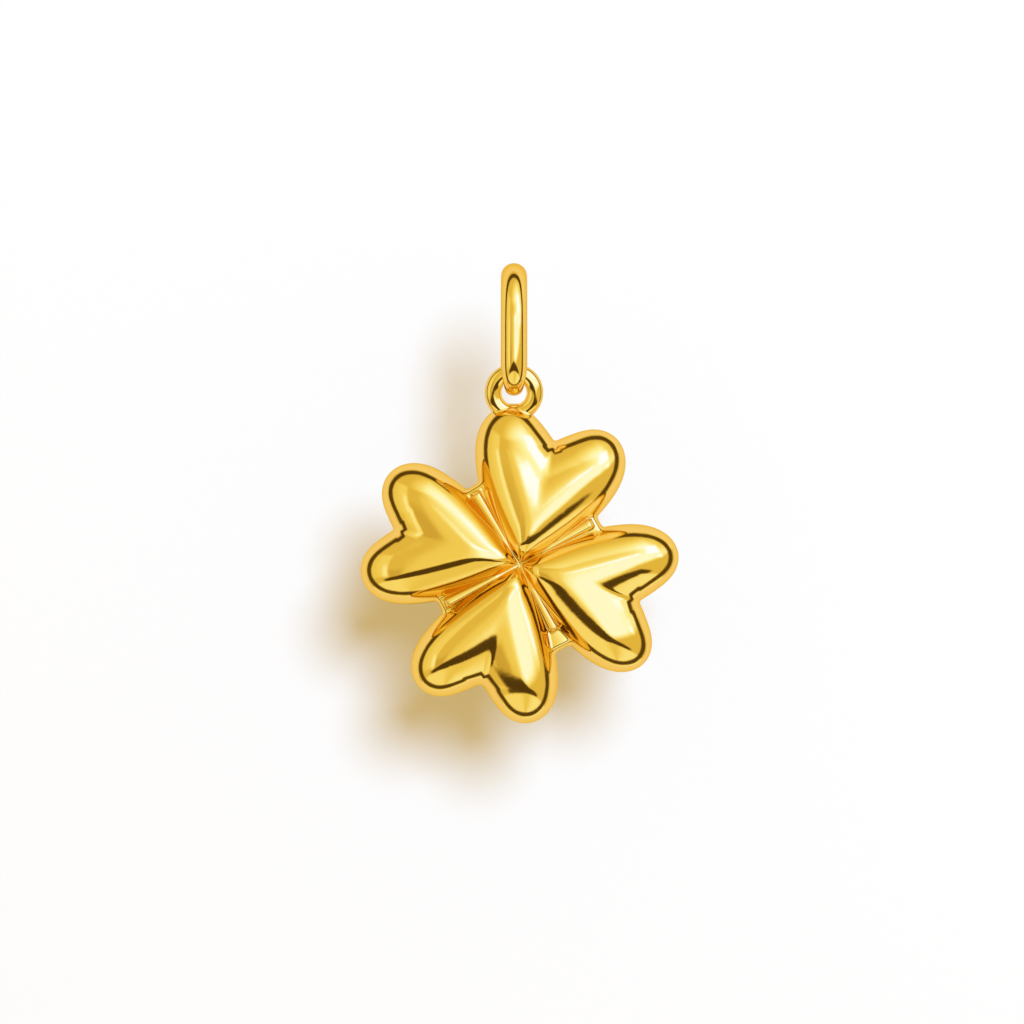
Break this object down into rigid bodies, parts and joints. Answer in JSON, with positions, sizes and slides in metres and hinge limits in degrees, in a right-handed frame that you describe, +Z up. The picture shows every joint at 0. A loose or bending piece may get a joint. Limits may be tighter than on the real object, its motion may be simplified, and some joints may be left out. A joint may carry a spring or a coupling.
{
  "type": "four leaf clover pendant",
  "caption": "Puffed clover charm with ribbed webs between its leaves, a soldered round eye and a tapered oval bail.",
  "frame": {"origin": "inside of the bail's top, where a chain carries it", "axes": "+Z up, +X to the right seen from the front, the clover's puffed front faces -Y"},
  "size_m": [0.0149, 0.005, 0.0215],
  "materials": {
    "polished_gold": "mirror-polished yellow gold plating"
  },
  "bodies": {
    "bail": {"bail": "polished_gold"},
    "clover": {"clover": "polished_gold"}
  },
  "joints": [
    {"name": "eye_swing", "type": "hinge", "parent": "bail", "child": "clover", "pos_m": [0, 0, -0.00385], "axis": [1, 0, 0], "range_deg": [-40, 30]}
  ]
}
